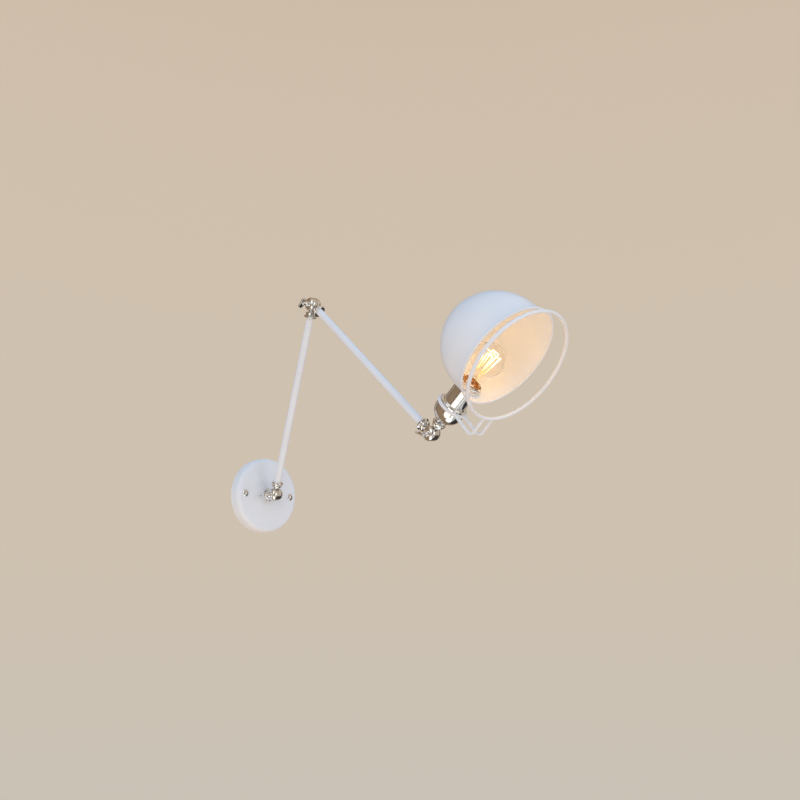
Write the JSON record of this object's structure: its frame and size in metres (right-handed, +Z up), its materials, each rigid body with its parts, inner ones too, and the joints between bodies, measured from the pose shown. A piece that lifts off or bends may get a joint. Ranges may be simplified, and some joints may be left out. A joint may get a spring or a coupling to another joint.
{
  "type": "swing arm wall lamp",
  "caption": "Wall lamp on a round plate with jointed tube arms, clamped ball knuckles with thumb screws, a domed shade with a wire guard ring, and a clear bulb.",
  "frame": {"origin": "centre of the wall plate's back, on the wall plane", "axes": "+Y into the wall, +Z up, +X to the right as seen from the room; the lamp stands out toward -Y"},
  "size_m": [0.1597, 0.5804, 0.353],
  "materials": {
    "white_paint": "satin white enamel",
    "white_wire": "white enamel on steel wire",
    "chrome": "polished chrome plate",
    "zinc_steel": "zinc plated",
    "brass": "bright brass",
    "lead_sleeve": "silicone sleeve",
    "fibre": "dark fibre",
    "terminal_plastic": "moulded",
    "ceramic": "glazed porcelain",
    "black_glass": "black glass",
    "clear_glass": "clear",
    "filament_wire": "glowing wire"
  },
  "bodies": {
    "wall_base": {"wall_plate": "white_paint", "mounting_strap": "zinc_steel", "plate_screws": "chrome", "earth_screw": "brass", "terminal_block": "terminal_plastic", "supply_leads": "lead_sleeve", "swivel_washer": "fibre"},
    "swivel": {"wall_knuckle_base": "chrome", "base_ferrule": "chrome", "lock_nut": "zinc_steel", "wall_friction_washer": "fibre"},
    "wall_clamp": {"wall_wing_screw": "chrome"},
    "lower_arm": {"wall_knuckle_arm": "chrome", "lower_arm_bottom_ferrule": "chrome", "lower_arm_tube": "white_paint", "lower_arm_leads": "lead_sleeve", "lower_arm_top_ferrule": "chrome", "elbow_knuckle_lower": "chrome", "elbow_friction_washer": "fibre"},
    "elbow_clamp": {"elbow_wing_screw": "chrome"},
    "upper_arm": {"elbow_knuckle_upper": "chrome", "upper_arm_top_ferrule": "chrome", "upper_arm_tube": "white_paint", "upper_arm_leads": "lead_sleeve", "upper_arm_bottom_ferrule": "chrome", "head_knuckle_arm": "chrome", "head_friction_washer": "fibre"},
    "head_clamp": {"head_wing_screw": "chrome"},
    "head": {"head_knuckle_lamp": "chrome", "head_ferrule": "chrome", "head_leads": "lead_sleeve", "holder_cup": "chrome", "cup_nut": "zinc_steel", "holder_shell": "chrome", "holder_insert": "ceramic", "screw_sleeve": "brass", "centre_contact": "brass", "seat_collar": "chrome", "shade": "white_paint", "ring_nut": "chrome", "guard_wire": "white_wire", "bulb_cap": "brass", "bulb_insulator": "black_glass", "bulb_tip": "brass", "bulb_glass": "clear_glass", "bulb_stem": "clear_glass", "filament": "filament_wire", "filament_supports": "filament_wire"}
  },
  "joints": [
    {"name": "base_swivel", "type": "hinge", "parent": "wall_base", "child": "swivel", "pos_m": [0, -0.035, 0], "axis": [0, 1, 0], "range_deg": [-162, 178]},
    {"name": "wall_tilt", "type": "hinge", "parent": "swivel", "child": "lower_arm", "pos_m": [0, -0.035, 0], "axis": [0.9903, 0, 0.1392], "range_deg": [-27, 159]},
    {"name": "elbow", "type": "hinge", "parent": "lower_arm", "child": "upper_arm", "pos_m": [-0.03967, -0.1619, 0.28225], "axis": [0.9903, 0, 0.1392], "range_deg": [-228, 5]},
    {"name": "head_tilt", "type": "hinge", "parent": "upper_arm", "child": "head", "pos_m": [-0.00791, -0.37469, 0.05629], "axis": [0.9903, 0, 0.1392], "range_deg": [-30, 199]},
    {"name": "wall_clamp_turn", "type": "hinge", "parent": "swivel", "child": "wall_clamp", "pos_m": [0, -0.035, 0], "axis": [0.9903, 0, 0.1392], "range_deg": [-90, 90]},
    {"name": "elbow_clamp_turn", "type": "hinge", "parent": "lower_arm", "child": "elbow_clamp", "pos_m": [-0.03967, -0.1619, 0.28225], "axis": [0.9903, 0, 0.1392], "range_deg": [-90, 90]},
    {"name": "head_clamp_turn", "type": "hinge", "parent": "upper_arm", "child": "head_clamp", "pos_m": [-0.00791, -0.37469, 0.05629], "axis": [0.9903, 0, 0.1392], "range_deg": [-90, 90]}
  ]
}
